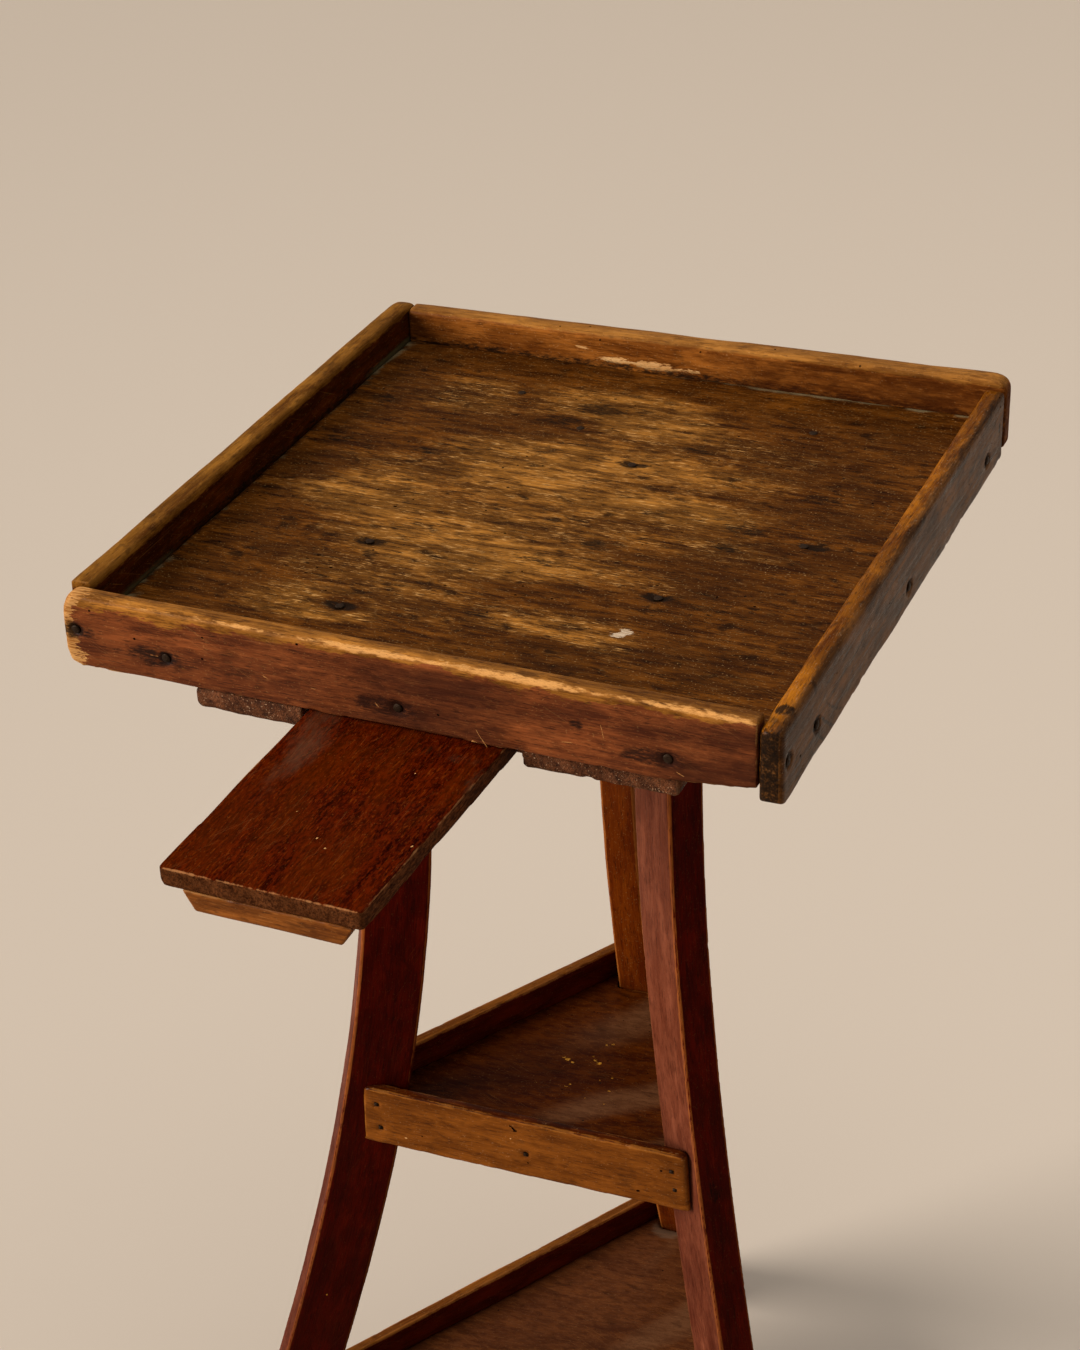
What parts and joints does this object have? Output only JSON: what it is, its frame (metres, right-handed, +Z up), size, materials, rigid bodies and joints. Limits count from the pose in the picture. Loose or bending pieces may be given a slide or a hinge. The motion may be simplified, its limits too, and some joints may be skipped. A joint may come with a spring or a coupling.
{
  "type": "tray-top stand",
  "caption": "Square tray-top side table on sabre-curved legs, with triangular lower shelves held by rails, and a board that slides out from under the tray.",
  "frame": {"origin": "on the floor, under the middle of the whole stand's bounding box as pictured", "axes": "+Z up, -Y towards the front, where the slide draws out, +X to the right seen from the front"},
  "size_m": [0.4084, 0.5544, 0.7363],
  "materials": {
    "floor_wood": "old varnish, worn through in patches",
    "front_wood": "old varnish, worn bare along the top edge",
    "right_wood": "weathered, nearly bare",
    "back_wood": "old varnish",
    "left_wood": "old varnish",
    "cleat_wood": "rough sawn, unfinished",
    "slide_wood": "varnished, glossy",
    "batten_wood": "varnished, rubbed",
    "leg_wood": "old varnish",
    "shelf_wood": "old varnish, dusty",
    "rail_wood": "old varnish, rubbed",
    "nail_iron": "forged, darkened"
  },
  "bodies": {
    "stand": {"back_board": "back_wood", "back_leg": "leg_wood", "floor_nails": "nail_iron", "front_board": "front_wood", "front_keeper": "cleat_wood", "gallery_nails": "nail_iron", "keeper_nails": "nail_iron", "left_board": "left_wood", "left_cleat": "cleat_wood", "left_leg": "leg_wood", "leg_nails": "nail_iron", "lower_front_rail": "rail_wood", "lower_left_rail": "rail_wood", "lower_rail_nails": "nail_iron", "lower_right_rail": "rail_wood", "lower_shelf": "shelf_wood", "middle_front_rail": "rail_wood", "middle_left_rail": "rail_wood", "middle_rail_nails": "nail_iron", "middle_right_rail": "rail_wood", "middle_shelf": "shelf_wood", "rear_cleat": "cleat_wood", "rear_keeper": "cleat_wood", "right_board": "right_wood", "right_cleat": "cleat_wood", "right_leg": "leg_wood", "tray_floor": "floor_wood"},
    "slide": {"slide_board": "slide_wood", "slide_batten": "batten_wood", "slide_stop": "cleat_wood", "slide_nails": "nail_iron"}
  },
  "joints": [
    {"name": "slide_travel", "type": "slide", "parent": "stand", "child": "slide", "axis": [0, -1, 0], "range_m": [-0.138, 0.004]}
  ]
}
